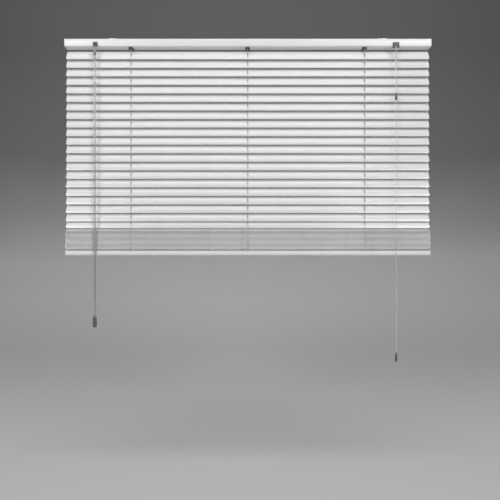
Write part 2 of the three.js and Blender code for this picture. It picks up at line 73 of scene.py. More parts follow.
# ---- camera and view -----------------------------------------------------------------
camera_data = bpy.data.cameras.new("photo_camera")
camera_data.sensor_width = 36
camera_data.lens = 37.85
camera_data.shift_x = 0.046
camera_data.shift_y = 0.014
camera = bpy.data.objects.new("photo_camera", camera_data)
camera.location = (-0.0511, -1.3, -0.5363)
camera.rotation_euler = (math.radians(90), 0, 0)
bpy.context.scene.collection.objects.link(camera)
bpy.context.scene.camera = camera
bpy.context.scene.view_settings.view_transform = "Standard"


# ---- mesh helpers --------------------------------------------------------------------
def to_object(name, bm, smooth_angle=40):
    """Turns a bmesh drawn in millimetres into a linked object with smooth faces and sharp edges."""
    bmesh.ops.recalc_face_normals(bm, faces=bm.faces)
    mesh = bpy.data.meshes.new(name)
    bm.to_mesh(mesh)
    bm.free()
    mesh.transform(Matrix.Scale(MM, 4))
    mesh.polygons.foreach_set("use_smooth", [True] * len(mesh.polygons))
    mesh.set_sharp_from_angle(angle=math.radians(smooth_angle))
    obj = bpy.data.objects.new(name, mesh)
    bpy.context.scene.collection.objects.link(obj)
    return obj


def apply_modifiers(obj):
    """Replaces an object's mesh with what its modifiers make of it."""
    graph = bpy.context.evaluated_depsgraph_get()
    mesh = bpy.data.meshes.new_from_object(obj.evaluated_get(graph))
    obj.modifiers.clear()
    obj.data = mesh
    return obj


def soften(obj, width, segments=2, angle=35):
    """Rounds an object's hard edges by a small bevel, width in millimetres."""
    bevel = obj.modifiers.new("soften", "BEVEL")
    bevel.width = width * MM
    bevel.segments = segments
    bevel.limit_method = "ANGLE"
    bevel.angle_limit = math.radians(angle)
    apply_modifiers(obj)
    obj.data.set_sharp_from_angle(angle=math.radians(angle))
    return obj


def sweep(bm, points, radius, sides=8):
    """Adds a round tube with closed ends along points to a bmesh."""
    uv = bm.loops.layers.uv.verify()
    points = [Vector(p) for p in points]
    tangents = []
    for i in range(len(points)):
        before = points[max(i - 1, 0)]
        after = points[min(i + 1, len(points) - 1)]
        tangents.append((after - before).normalized())
    side = tangents[0].orthogonal().normalized()
    rings = []
    lengths = [0.0]
    for i, point in enumerate(points):
        side = (side - tangents[i] * side.dot(tangents[i])).normalized()
        other = tangents[i].cross(side)
        ring = []
        for k in range(sides):
            turn = 2 * math.pi * k / sides
            ring.append(bm.verts.new(point + radius * (side * math.cos(turn) + other * math.sin(turn))))
        rings.append(ring)
        if i:
            lengths.append(lengths[-1] + (point - points[i - 1]).length)
    for i in range(len(points) - 1):
        for k in range(sides):
            after = (k + 1) % sides
            face = bm.faces.new((rings[i][k], rings[i][after], rings[i + 1][after], rings[i + 1][k]))
            corners = ((k, i), (k + 1, i), (k + 1, i + 1), (k, i + 1))
            for loop, (around, along) in zip(face.loops, corners):
                loop[uv].uv = (around / sides, lengths[along])
    bm.faces.new(reversed(rings[0]))
    bm.faces.new(rings[-1])


def tube(name, points, radius, sides=8):
    """One round tube along points as an object of its own."""
    bm = bmesh.new()
    sweep(bm, points, radius, sides)
    return to_object(name, bm, 60)


def join_rings(bm, low, high, sides):
    """Faces between two rings of vertices, either of which may be a single point."""
    for k in range(sides):
        after = (k + 1) % sides
        corners = [low[k % len(low)], low[after % len(low)]]
        corners += [high[after % len(high)], high[k % len(high)]]
        bm.faces.new(list(dict.fromkeys(corners)))


def add_wall(bm, outline, x0, x1):
    """A closed (y, z) outline extruded along x without its ends. Returns the two end loops."""
    ends = [[bm.verts.new((x, y, z)) for y, z in outline] for x in (x0, x1)]
    for j in range(len(outline)):
        after = (j + 1) % len(outline)
        bm.faces.new((ends[0][j], ends[0][after], ends[1][after], ends[1][j]))
    return ends


def turned(name, profile, sides=32, flutes=0, depth=0.0):
    """A solid of revolution about Z from (radius, z) points, with optional lengthwise flutes."""
    bm = bmesh.new()
    rings = []
    for radius, z in profile:
        if radius == 0:
            rings.append([bm.verts.new((0, 0, z))])
            continue
        ring = []
        for k in range(sides):
            turn = 2 * math.pi * k / sides
            r = radius - depth * (0.5 + 0.5 * math.cos(flutes * turn)) if flutes else radius
            ring.append(bm.verts.new((r * math.cos(turn), r * math.sin(turn), z)))
        rings.append(ring)
    for low, high in zip(rings, rings[1:]):
        join_rings(bm, low, high, sides)
    return to_object(name, bm, 50)


def folded(name, path, columns, thickness, is_open):
    """A sheet bent along a (y, z) path and drawn along x, without the cells that is_open names."""
    bm = bmesh.new()
    grid = [[bm.verts.new((x, y, z)) for y, z in path] for x in columns]
    for i in range(len(columns) - 1):
        for j in range(len(path) - 1):
            x = (columns[i] + columns[i + 1]) / 2
            y = (path[j][0] + path[j + 1][0]) / 2
            z = (path[j][1] + path[j + 1][1]) / 2
            if not is_open(x, y, z):
                bm.faces.new((grid[i][j], grid[i][j + 1], grid[i + 1][j + 1], grid[i + 1][j]))
    bmesh.ops.delete(bm, geom=[v for v in bm.verts if not v.link_faces], context="VERTS")
    bmesh.ops.recalc_face_normals(bm, faces=bm.faces)
    bmesh.ops.solidify(bm, geom=bm.faces[:], thickness=thickness)
    return to_object(name, bm)


def arc(centre, radius, start, end, steps):
    """(y, z) points on an arc, angles in degrees from +y towards +z."""
    points = []
    for i in range(steps + 1):
        turn = math.radians(start + (end - start) * i / steps)
        points.append((centre[0] + radius * math.cos(turn), centre[1] + radius * math.sin(turn)))
    return points


def softened_copy(name, node, width, segments=2):
    """A copy of a CAD node with its flat faces joined and its edges rounded."""
    bm = bmesh.new()
    bm.from_mesh(frame["nodes"][node].data)
    bmesh.ops.remove_doubles(bm, verts=bm.verts, dist=2e-6)
    bmesh.ops.dissolve_limit(bm, angle_limit=math.radians(3), verts=bm.verts, edges=bm.edges)
    for vert in bm.verts:
        vert.co /= MM
    obj = to_object(name, bm)
    return soften(obj, width, segments)


def place(obj, body, material, stands_for=()):
    """Gives a piece its material and its body, and hides the CAD parts that it stands for."""
    obj.data.materials.clear()
    obj.data.materials.append(material)
    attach(obj, body)
    if stands_for:
        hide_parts(*stands_for)
    return obj


# ---- materials -----------------------------------------------------------------------
class Nodes:
    """Short words for building one material's node tree."""

    def __init__(self, name):
        self.material = bpy.data.materials.new(name)
        self.material.use_nodes = True
        self.tree = self.material.node_tree
        self.shader = self.tree.nodes["Principled BSDF"]
        self.place = self.tree.nodes.new("ShaderNodeTexCoord").outputs["Object"]

    def new(self, kind, **settings):
        node = self.tree.nodes.new(kind)
        for key, value in settings.items():
            setattr(node, key, value)
        return node

    def link(self, output, socket):
        self.tree.links.new(output, socket)

    def scaled(self, scale):
        """Object coordinates times scale, one factor for each axis."""
        node = self.new("ShaderNodeMapping")
        node.inputs["Scale"].default_value = scale
        self.link(self.place, node.inputs["Vector"])
        return node.outputs["Vector"]

    def noise(self, scale, detail=3.0, roughness=0.55):
        """Noise whose cells are 1/scale metres along each axis."""
        node = self.new("ShaderNodeTexNoise")
        node.inputs["Scale"].default_value = 1.0
        node.inputs["Detail"].default_value = detail
        node.inputs["Roughness"].default_value = roughness
        self.link(self.scaled(scale), node.inputs["Vector"])
        return node.outputs["Fac"]

    def cells(self, scale):
        """Voronoi cells, each 1/scale metres across, with a random colour."""
        node = self.new("ShaderNodeTexVoronoi")
        node.inputs["Scale"].default_value = 1.0
        self.link(self.scaled(scale), node.inputs["Vector"])
        return node.outputs["Color"]

    def ramp(self, source, stops):
        """Colours or greys over a source that runs from 0 to 1."""
        node = self.new("ShaderNodeValToRGB")
        elements = node.color_ramp.elements
        while len(elements) < len(stops):
            elements.new(0.5)
        for element, (position, colour) in zip(elements, stops):
            element.position = position
            element.color = (*colour, 1) if hasattr(colour, "__len__") else (colour, colour, colour, 1)
        self.link(source, node.inputs["Fac"])
        return node.outputs["Color"]

    def spread(self, source, low, high):
        """A source's middle range mapped to low..high."""
        node = self.new("ShaderNodeMapRange")
        node.inputs["From Min"].default_value = 0.3
        node.inputs["From Max"].default_value = 0.7
        node.inputs["To Min"].default_value = low
        node.inputs["To Max"].default_value = high
        self.link(source, node.inputs["Value"])
        return node.outputs["Result"]

    def mix(self, share, first, second):
        node = self.new("ShaderNodeMix", data_type="RGBA")
        self.link(share, node.inputs["Factor"])
        for value, socket in ((first, node.inputs["A"]), (second, node.inputs["B"])):
            if hasattr(value, "__len__"):
                socket.default_value = (*value, 1)
            else:
                self.link(value, socket)
        return node.outputs["Result"]

    def math(self, operation, first, second=None):
        node = self.new("ShaderNodeMath", operation=operation)
        for value, socket in zip((first, second), node.inputs):
            if isinstance(value, (int, float)):
                socket.default_value = value
            elif value is not None:
                self.link(value, socket)
        return node.outputs["Value"]

    def bump(self, *layers):
        """Stacks bumps, each a (height, depth in metres) pair, onto the shader's normal."""
        normal = None
        for height, depth in layers:
            node = self.new("ShaderNodeBump")
            node.inputs["Strength"].default_value = 1.0
            node.inputs["Distance"].default_value = depth
            self.link(height, node.inputs["Height"])
            if normal is not None:
                self.link(normal, node.inputs["Normal"])
            normal = node.outputs["Normal"]
        self.link(normal, self.shader.inputs["Normal"])

    def set(self, **values):
        names = {"ior": "IOR", "coat": "Coat Weight", "coat_roughness": "Coat Roughness",
                 "specular": "Specular IOR Level", "transmission": "Transmission Weight"}
        for key, value in values.items():
            self.shader.inputs[names.get(key, key.capitalize())].default_value = value


def enamel(name, light, dark, rough, stripe, worn_beyond, dirt_and_painted_shade=0.0):
    """Stove enamel on rolled metal: orange peel, faint rolling lines, settled dust, bare cut ends.

    stripe is how many rolling lines there are in a metre, worn_beyond the x where cut ends begin,
    and the last argument how far the colour greys towards a slat's room-side edge, as painted shade.
    """
    n = Nodes(name)
    clouds = n.noise((6, 40, 40), 4)
    lines = n.noise((3, stripe, stripe), 2)
    dust = n.noise((900, 900, 900), 5, 0.7)
    tone = n.ramp(clouds, ((0.3, dark), (0.62, light)))
    lined = n.mix(n.ramp(lines, ((0.42, 0.0), (0.75, 0.35))), tone, dark)
    speck = n.mix(n.ramp(dust, ((0.66, 0.0), (0.8, 0.5))), lined, (0.42, 0.40, 0.36))
    parts = n.new("ShaderNodeSeparateXYZ")
    n.link(n.place, parts.inputs["Vector"])
    # painted shade: towards the room-side edge (-y) the colour greys to (0.30, 0.30, 0.29) by up to the
    # given share, for the shade on the lower part of each closed slat
    frontward = n.math("MULTIPLY", parts.outputs["Y"], -1 / HALF_SLAT)
    painted_front_shade = n.mix(n.ramp(frontward, ((0.0, 0.0), (1.0, dirt_and_painted_shade))), speck, (0.30, 0.30, 0.29))
    reach = n.math("ABSOLUTE", parts.outputs["X"])
    ragged = n.math("MULTIPLY", n.noise((1500, 1500, 1500), 3), 0.0016)
    bare = n.math("GREATER_THAN", n.math("ADD", reach, ragged), worn_beyond + 0.0008)
    n.link(n.mix(bare, painted_front_shade, (0.55, 0.56, 0.57)), n.shader.inputs["Base Color"])
    n.link(n.math("MULTIPLY", bare, 0.9), n.shader.inputs["Metallic"])
    n.link(n.spread(n.noise((25, 120, 120), 4), *rough), n.shader.inputs["Roughness"])
    n.bump((n.noise((450, 450, 450), 2), 0.00003), (n.noise((4, stripe, stripe), 2), 0.00002))
    n.set(coat=0.25, coat_roughness=0.18)
    return n.material


def moulded(name, light, dark, rough, grain=2600, depth=0.00004):
    """Injection-moulded plastic: a fine spark-eroded grain, mottled colour and rubbed patches."""
    n = Nodes(name)
    mottle = n.noise((180, 180, 180), 5, 0.65)
    rubbed = n.noise((60, 60, 110), 3)
    tone = n.ramp(mottle, ((0.32, dark), (0.7, light)))
    paler = [min(1.0, c * 1.35) for c in light]
    n.link(n.mix(n.ramp(rubbed, ((0.55, 0.0), (0.75, 0.4))), tone, paler), n.shader.inputs["Base Color"])
    n.link(n.spread(rubbed, rough[1], rough[0]), n.shader.inputs["Roughness"])
    n.bump((n.noise((grain, grain, grain), 2), depth), (n.noise((240, 240, 240), 3), 0.00005))
    return n.material


def metal(name, light, dark, rough, flake, brush, flake_depth=0.00001):
    """Bare or plated metal: crystal flakes, fine lengthwise scratches and dull patches."""
    n = Nodes(name)
    flakes = n.cells((flake, flake, flake))
    grey = n.new("ShaderNodeRGBToBW")
    n.link(flakes, grey.inputs["Color"])
    patches = n.noise((90, 90, 90), 4)
    tone = n.mix(n.ramp(patches, ((0.35, 0.0), (0.7, 1.0))),
                 n.ramp(grey.outputs["Val"], ((0.2, dark), (0.8, light))),
                 [0.75 * c for c in light])
    n.link(tone, n.shader.inputs["Base Color"])
    n.link(n.spread(grey.outputs["Val"], *rough), n.shader.inputs["Roughness"])
    n.bump((n.noise(brush, 2), 0.00002), (grey.outputs["Val"], flake_depth))
    n.set(metallic=1.0)
    return n.material


def braid(name, light, dark, strands, lay_length, depth):
    """Braided thread drawn in the tube's own UV: u once round, v in millimetres along it."""
    n = Nodes(name)
    uv = n.new("ShaderNodeUVMap", uv_map="UVMap")
    parts = n.new("ShaderNodeSeparateXYZ")
    n.link(uv.outputs["UV"], parts.inputs["Vector"])
    round_ = n.math("MULTIPLY", parts.outputs["X"], 2 * math.pi * strands)
    along = n.math("MULTIPLY", parts.outputs["Y"], 2 * math.pi / lay_length)
    one = n.math("SINE", n.math("ADD", round_, along))
    two = n.math("SINE", n.math("SUBTRACT", round_, along))
    weave = n.math("MULTIPLY_ADD", n.math("MULTIPLY", one, two), 0.5)
    weave.node.inputs[2].default_value = 0.5
    fuzz = n.noise((4000, 4000, 4000), 3)
    dirt_and_painted_shade = n.noise((35, 35, 35), 3)
    tone = n.ramp(weave, ((0.1, dark), (0.6, light)))
    grime = n.ramp(dirt_and_painted_shade, ((0.45, 0.0), (0.75, 0.45)))
    n.link(n.mix(grime, tone, [0.8 * c for c in dark]), n.shader.inputs["Base Color"])
    n.link(n.spread(fuzz, 0.75, 0.95), n.shader.inputs["Roughness"])
    n.bump((weave, depth), (fuzz, 0.00003))
    return n.material


def acrylic(name, light, dark, rough, clear):
    """Extruded acrylic: draw lines along Z, a grey tint that drifts, and handling haze."""
    n = Nodes(name)
    lines = n.noise((1400, 1400, 5), 2)
    haze = n.noise((90, 90, 22), 4)
    n.link(n.ramp(haze, ((0.3, dark), (0.7, light))), n.shader.inputs["Base Color"])
    n.link(n.spread(haze, *rough), n.shader.inputs["Roughness"])
    n.bump((lines, 0.00004), (haze, 0.00004))
    n.set(ior=1.49, transmission=clear)
    return n.material


slat_end = box_mm("slat_05")[1].x
NO_CUT_ENDS = 1.0      # metres, further out than either rail reaches
RAIL_PAINT = enamel("rail_paint", (0.88, 0.885, 0.88), (0.82, 0.825, 0.82), (0.3, 0.42), 260,
                    NO_CUT_ENDS)
# the slats' enamel greys by up to 0.26 towards the room-side edge: painted shade
SLAT_PAINT = enamel("slat_paint", (0.91, 0.915, 0.915), (0.85, 0.855, 0.86), (0.24, 0.36), 420,
                    slat_end * MM - 0.0006, 0.26)
STACK_PAINT = enamel("stack_paint", (0.92, 0.925, 0.92), (0.87, 0.875, 0.87), (0.24, 0.36), 420,
                     slat_end * MM - 0.0006)
WHITE_PLASTIC = moulded("white_plastic", (0.86, 0.86, 0.85), (0.78, 0.78, 0.765), (0.38, 0.52))
GREY_PLASTIC = moulded("grey_plastic", (0.155, 0.158, 0.16), (0.105, 0.108, 0.11), (0.36, 0.55))
DARK_PLASTIC = moulded("dark_plastic", (0.115, 0.117, 0.12), (0.075, 0.077, 0.08), (0.4, 0.6))
ZINC_STEEL = metal("zinc_steel", (0.66, 0.67, 0.69), (0.46, 0.47, 0.49), (0.28, 0.5), 260,
                   (30, 2600, 2600))
HOOK_STEEL = metal("hook_steel", (0.7, 0.71, 0.72), (0.55, 0.56, 0.57), (0.16, 0.34), 900,
                   (2600, 2600, 60))
ROLLER_BRASS = metal("roller_brass", (0.68, 0.53, 0.27), (0.48, 0.35, 0.16), (0.24, 0.45), 700,
                     (5200, 120, 120))
CLEAR_ACRYLIC = acrylic("clear_acrylic", (0.76, 0.77, 0.78), (0.66, 0.67, 0.68), (0.1, 0.22), 0.78)
CLEAR_VINYL = acrylic("clear_vinyl", (0.8, 0.81, 0.82), (0.68, 0.69, 0.7), (0.2, 0.35), 0.75)
CORD = braid("cord", (0.72, 0.72, 0.71), (0.46, 0.46, 0.45), 4, 1.7, 0.00012)
LADDER_CORD = braid("ladder_cord", (0.44, 0.44, 0.435), (0.28, 0.28, 0.275), 3, 1.1, 0.00006)


# ---- pull cords ----------------------------------------------------------------------
# Three upper cords from the lock to the connector, then one to the tassel, routed as in part.mjs.
LOCK_X = 362.0
CORD_Y = -16.5
UPPER_TOP, UPPER_BOTTOM = -18.0, -135.2
LOWER_TOP, LOWER_BOTTOM = -153.1, -769.3
connector_low, connector_high = box_mm("cord_connector")
tassel_low, tassel_high = box_mm("cord_tassel")

connector = turned("cord_connector_bell", [
    (0, connector_low.z), (1.5, connector_low.z), (2.3, connector_low.z + 0.4),
    (3.0, connector_low.z + 1.5), (3.2, connector_low.z + 3.2),
    (3.15, connector_low.z + 5.6), (2.75, connector_low.z + 8.4),
    (2.2, connector_low.z + 11.4), (1.85, connector_high.z - 2.8), (1.75, connector_high.z - 0.9),
    (1.45, connector_high.z), (0, connector_high.z),
])
connector.location = (LOCK_X * MM, CORD_Y * MM, 0)
bpy.context.view_layer.update()
place(connector, "pull_cord", GREY_PLASTIC, ["cord_connector"])

tassel = turned("cord_tassel_grip", [
    (0, tassel_low.z), (1.6, tassel_low.z), (2.6, tassel_low.z + 0.5), (3.0, tassel_low.z + 1.6),
    (3.0, tassel_low.z + 4), (2.9, tassel_low.z + 9),
    (2.55, tassel_low.z + 13.5), (2.1, tassel_low.z + 17),
    (1.6, tassel_high.z - 1.8), (1.4, tassel_high.z - 0.4), (1.1, tassel_high.z), (0, tassel_high.z),
], 40, 10, 0.35)
tassel.location = (LOCK_X * MM, CORD_Y * MM, 0)
bpy.context.view_layer.update()
place(tassel, "pull_cord", GREY_PLASTIC, ["cord_tassel"])


def hanging(top, bottom, steps, x_at, y_at):
    """Points of a cord that hangs from top to bottom at LOCK_X and CORD_Y with small offsets."""
    points = []
    for i in range(steps + 1):
        share = i / steps
        z = top + (bottom - top) * share
        points.append((LOCK_X + x_at(share), CORD_Y + y_at(share), z))
    return points


def metres(points):
    """Millimetre points as tuples in metres."""
    return [tuple(c * MM for c in p) for p in points]


UPPER_RADIUS = 0.6
for number, offset in enumerate((-1, 0, 1), 1):
    route = hanging(UPPER_TOP, UPPER_BOTTOM, 36,
                    lambda s, o=offset: o * (1.15 - 0.5 * s) * math.cos(2.2 * math.pi * s),
                    lambda s, o=offset: o * (1.15 - 0.5 * s) * math.sin(2.2 * math.pi * s) * 0.9)
    cord = tube(f"pull_cord_upper_{number}", route, UPPER_RADIUS)
    cord.data.materials.append(CORD)
    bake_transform(cord)
    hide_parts("pull_cord_upper")
    path = metres(route)

LOWER_RADIUS = 0.7
lower_route = hanging(LOWER_TOP, LOWER_BOTTOM, 40,
                      lambda s: 0.5 * math.sin(3 * math.pi * s) * math.sin(math.pi * s),
                      lambda s: 0.3 * math.sin(2 * math.pi * s))
lower = tube("pull_cord_single", lower_route, LOWER_RADIUS)
place(lower, "pull_cord", CORD, ["pull_cord_lower"])


# ---- slats ---------------------------------------------------------------------------
LADDERS = (-288.0, 0.0, 288.0)
SLAT_CROWN = 1.5
SLAT_SHEET = 0.21
SLAT_CORNER = 3.0
ROUT_HALF = 1.2        # half width of a rout hole, along the slat
ROUT_REACH = 4.8       # half length of a rout hole, across the slat
TILT = math.radians(65)


def crown_at(y):
    """Height of a slat's curved section above its chord."""
    return SLAT_CROWN * (1 - (2 * y / SLAT_WIDTH) ** 2)


def slat_columns():
    """x of the slat's mesh columns, dense at the rounded ends and the rout holes."""
    ends = [slat_end - d for d in (0, 0.12, 0.5, 1.1, 2.0, 3.0)]
    columns = set(ends) | {-x for x in ends}
    for ladder in LADDERS:
        columns |= {ladder + d * ROUT_HALF for d in (-1, -0.92, -0.7, -0.38, 0, 0.38, 0.7, 0.92, 1)}
        columns |= {ladder - 12, ladder + 12}
    return sorted(columns)


def slat_mesh():
    """One slat: a crowned strip with rounded ends and a rout hole at each ladder."""
    corner = SLAT_CORNER
    inner = ROUT_REACH - ROUT_HALF
    shares = (0, 0.4, 0.6, 0.78, 0.92, 1)
    columns = slat_columns()
    bm = bmesh.new()
    rows = []
    for x in columns:
        from_end = slat_end - abs(x)
        trim = 0 if from_end >= corner else corner - math.sqrt(corner ** 2 - (corner - from_end) ** 2)
        outer = SLAT_WIDTH / 2 - trim
        near = min(abs(x - ladder) for ladder in LADDERS)
        hole = inner
        if near < ROUT_HALF - 1e-6:
            hole = inner + math.sqrt(max(0.0, ROUT_HALF ** 2 - near ** 2))
        side = [0.0, inner / 2] + [hole + (outer - hole) * s for s in shares]
        stations = [-y for y in reversed(side[1:])] + side
        rows.append([bm.verts.new((x, y, crown_at(y))) for y in stations])
    middle = len(rows[0]) // 2
    for i in range(len(columns) - 1):
        x = (columns[i] + columns[i + 1]) / 2
        in_hole = min(abs(x - ladder) for ladder in LADDERS) < ROUT_HALF
        for j in range(len(rows[0]) - 1):
            if in_hole and middle - 2 <= j < middle + 2:
                continue
            bm.faces.new((rows[i][j], rows[i + 1][j], rows[i + 1][j + 1], rows[i][j + 1]))
    bmesh.ops.delete(bm, geom=[v for v in bm.verts if not v.link_faces], context="VERTS")
    bmesh.ops.recalc_face_normals(bm, faces=bm.faces)
    if sum(f.normal.z for f in bm.faces) > 0:
        bmesh.ops.reverse_faces(bm, faces=bm.faces)
    bmesh.ops.solidify(bm, geom=bm.faces[:], thickness=-SLAT_SHEET)
    return to_object("slat_pattern", bm, 45)


pattern = slat_mesh()
slat_data = pattern.data
bpy.data.objects.remove(pattern)
slat_data.materials.append(SLAT_PAINT)
stack_data = slat_data.copy()
stack_data.materials[0] = STACK_PAINT

RUNG_BELOW = 0.65       # where a rung ties to its strands, below the slat's chord
RUNG_GAP = 0.25         # from a slat's underside to the middle of its rung
STRAND_Y = 6.2
THREAD = 0.35


def rungs(name, chord_half, below, spread):
    """Pairs of cross threads that hug one slat's underside at each ladder, in the slat's frame."""
    bm = bmesh.new()
    for ladder in LADDERS:
        for side in (-1, 1):
            points = []
            for i in range(17):
                share = i / 8 - 1
                bow = spread * (1 - share ** 2)
                y = share * chord_half
                underside = max(0.0, crown_at(y))
                drop = RUNG_GAP + (below - RUNG_GAP) * share ** 12
                points.append((ladder + side * bow, y, underside - drop))
            sweep(bm, points, THREAD * 0.6, 6)
    return to_object(name, bm, 60)


slat_nodes = [name for name in sorted(frame["nodes"]) if name.startswith("slat_")]
slat_numbers = [name[5:] for name in slat_nodes if name[5:].isdigit()]
rung_half = STRAND_Y / math.cos(TILT)
for number in slat_numbers:
    height = joints[f"tilt_{number}"]["pos_m"][2]
    lean = TILT + math.radians(draw.uniform(-0.4, 0.4))
    slat = bpy.data.objects.new(f"slat_{number}_formed", slat_data)
    bpy.context.scene.collection.objects.link(slat)
    slat.matrix_world = Matrix.Translation((0, 0, height)) @ Matrix.Rotation(lean, 4, "X")
    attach(slat, f"slat_{number}")
    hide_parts(f"slat_{number}")
    rung = rungs(f"ladder_rungs_{number}", rung_half, RUNG_BELOW, 1.9)
    rung.matrix_world = Matrix.Translation((0, 0, height)) @ Matrix.Rotation(lean, 4, "X")
    step = f"ladder_step_{number}"
    place(rung, f"slat_{number}", LADDER_CORD, [step] if step in frame["nodes"] else [])

# ---- gathered slats ------------------------------------------------------------------
# They lean forward as in part.mjs, least at the two ends of the stack.
STACK_COUNT = 27
STACK_PITCH = 1.95
STACK_TOP = -467.9
LEAN_TOP, LEAN_MIDDLE, LEAN_BOTTOM = 0.25, 0.42, 0.05
LEAN_ONSET, LEAN_RELEASE = 0.06, 0.055
RIPPLE_SLOPE, RIPPLE_TURN, RIPPLE_START = 0.06, 0.785, -2.04


def stack_lean(layer):
    """Slope of a gathered slat, from its back edge down to its front edge."""
    upper = LEAN_TOP + LEAN_ONSET * layer
    lower = LEAN_BOTTOM + LEAN_RELEASE * (STACK_COUNT - 1 - layer)
    return min(upper, LEAN_MIDDLE, lower) + RIPPLE_SLOPE * math.sin(RIPPLE_START + RIPPLE_TURN * layer)


def stack_edge(layer, side):
    """Height of one long edge of a gathered slat, side -1 in front and 1 behind."""
    z = STACK_TOP - SLAT_SHEET - SLAT_CROWN - layer * STACK_PITCH
    return z + side * SLAT_WIDTH / 2 * stack_lean(layer)


for layer in range(STACK_COUNT):
    z = STACK_TOP - SLAT_SHEET - SLAT_CROWN - layer * STACK_PITCH
    slat = bpy.data.objects.new(f"stack_slat_{layer + 1:02d}", stack_data)
    bpy.context.scene.collection.objects.link(slat)
    offset = Vector((draw.uniform(-0.5, 0.5), draw.uniform(-0.15, 0.15), z)) * MM
    lean = math.atan(stack_lean(layer)) + math.radians(draw.uniform(-0.3, 0.3))
    slat.matrix_world = Matrix.Translation(offset) @ Matrix.Rotation(lean, 4, "X")
    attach(slat, "bottom_rail")
    if layer == 0:
        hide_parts("slat_stack")

# ---- ladders and lift cords ----------------------------------------------------------
RAIL_LOW, RAIL_HIGH = box_mm("headrail")
rail_bottom = RAIL_LOW.z
bottom_low, bottom_high = box_mm("bottom_rail")
OPEN_BOTTOM = -465.0
OUTER_SWAY, MIDDLE_SWAY = 1.1, 0.3
LIFT_RADIUS = 0.6
slat_heights = [joints[f"tilt_{number}"]["pos_m"][2] / MM for number in slat_numbers]


def stretch(obj):
    """A thread between the headrail and the gathered slats, with its placement baked into its mesh."""
    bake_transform(obj)


for index, ladder in enumerate(LADDERS, 1):
    # the strands lean a little from slat to slat, more at the outer ladders
    sway = OUTER_SWAY if ladder else MIDDLE_SWAY
    for side, label in ((-1, "front"), (1, "back")):
        points = [(ladder, side * STRAND_Y, rail_bottom + 4), (ladder, side * STRAND_Y, rail_bottom)]
        for height in slat_heights:
            knot = height + side * (rung_half * math.sin(TILT)) - RUNG_BELOW * math.cos(TILT)
            for above, across in ((16, sway), (0.5, -sway)):
                if OPEN_BOTTOM + 2 < knot + above < rail_bottom - 3:
                    points.append((ladder + across, side * STRAND_Y, knot + above))
        points.append((ladder, side * STRAND_Y, OPEN_BOTTOM))
        points.append((ladder, side * (STRAND_Y + 0.2), OPEN_BOTTOM - 0.5))
        strand = tube(f"ladder_{index}_{label}", points, THREAD, 6)
        strand.data.materials.append(LADDER_CORD)
        stretch(strand)

    # the lift cord weaves past the rungs on its way through the rout holes
    points = [(ladder, 0, rail_bottom + 3)]
    for height in slat_heights:
        points += [(ladder + 0.4, 0, height + 9), (ladder - 0.4, 0, height - 4)]
    points.append((ladder, 0, bottom_high.z - 1.5))
    lift = tube(f"lift_cord_{index}", points, LIFT_RADIUS, 8)
    lift.data.materials.append(CORD)
    stretch(lift)

    # gathered: the strands fold into small loops in front of and behind the stack
    bm = bmesh.new()
    for side in (-1, 1):
        points = [(ladder, side * STRAND_Y, OPEN_BOTTOM)]
        edge = SLAT_WIDTH / 2 + 0.9
        for layer in range(STACK_COUNT):
            z = stack_edge(layer, side)
            swing = (1 if layer % 2 else -1) * draw.uniform(0.6, 1.5)
            points.append((ladder + swing, side * (edge + draw.uniform(0, 0.5)), z - 0.7))
        points.append((ladder, side * (edge - 0.4), bottom_high.z - 2))
        points.append((ladder, side * (edge - 0.4), bottom_high.z - 5))
        sweep(bm, points, THREAD, 6)
    for layer in range(STACK_COUNT):
        reach = SLAT_WIDTH / 2 + 0.6
        for shift in (-1.1, 1.1):
            ends = [(ladder + shift, side * reach, stack_edge(layer, side) - 0.5) for side in (-1, 1)]
            sweep(bm, ends, THREAD * 0.8, 6)
    place(to_object(f"ladder_{index}_gathered", bm, 60), "bottom_rail", CORD)

# ---- bottom rail ---------------------------------------------------------------------
half = SLAT_WIDTH / 2
top, low = bottom_high.z, bottom_low.z
belly = (top + low) / 2 + 1.5
CORNER = 5.0
UPPER_CORNER = 1.2
RAIL_SHEET = 0.6       # wall of the bottom rail and of the headrail
CAP_SHEET = 1.0
outline = arc((half - UPPER_CORNER, top - UPPER_CORNER), UPPER_CORNER, 90, 0, 4)
outline += [(half + 0.1, belly)]
outline += arc((half - CORNER, low + CORNER), CORNER, 0, -90, 8)
outline += [(0, low - 0.15)]
outline += arc((CORNER - half, low + CORNER), CORNER, -90, -180, 8)
outline += [(-half - 0.1, belly)]
outline += arc((UPPER_CORNER - half, top - UPPER_CORNER), UPPER_CORNER, 180, 90, 4)
outline += [(-2, top), (-2, top - 0.9), (2, top - 0.9), (2, top)]
rail_half = bottom_high.x - CAP_SHEET


def shell(name, outline, x0, x1, wall):
    """A closed outline extruded along x as a hollow profile with open ends."""
    bm = bmesh.new()
    add_wall(bm, outline, x0, x1)
    bmesh.ops.recalc_face_normals(bm, faces=bm.faces)
    bmesh.ops.solidify(bm, geom=bm.faces[:], thickness=wall)
    return to_object(name, bm)


def add_plate(bm, outline, x0, x1):
    """A closed outline extruded along x as a solid."""
    ends = add_wall(bm, outline, x0, x1)
    bm.faces.new(ends[0])
    bm.faces.new(reversed(ends[1]))


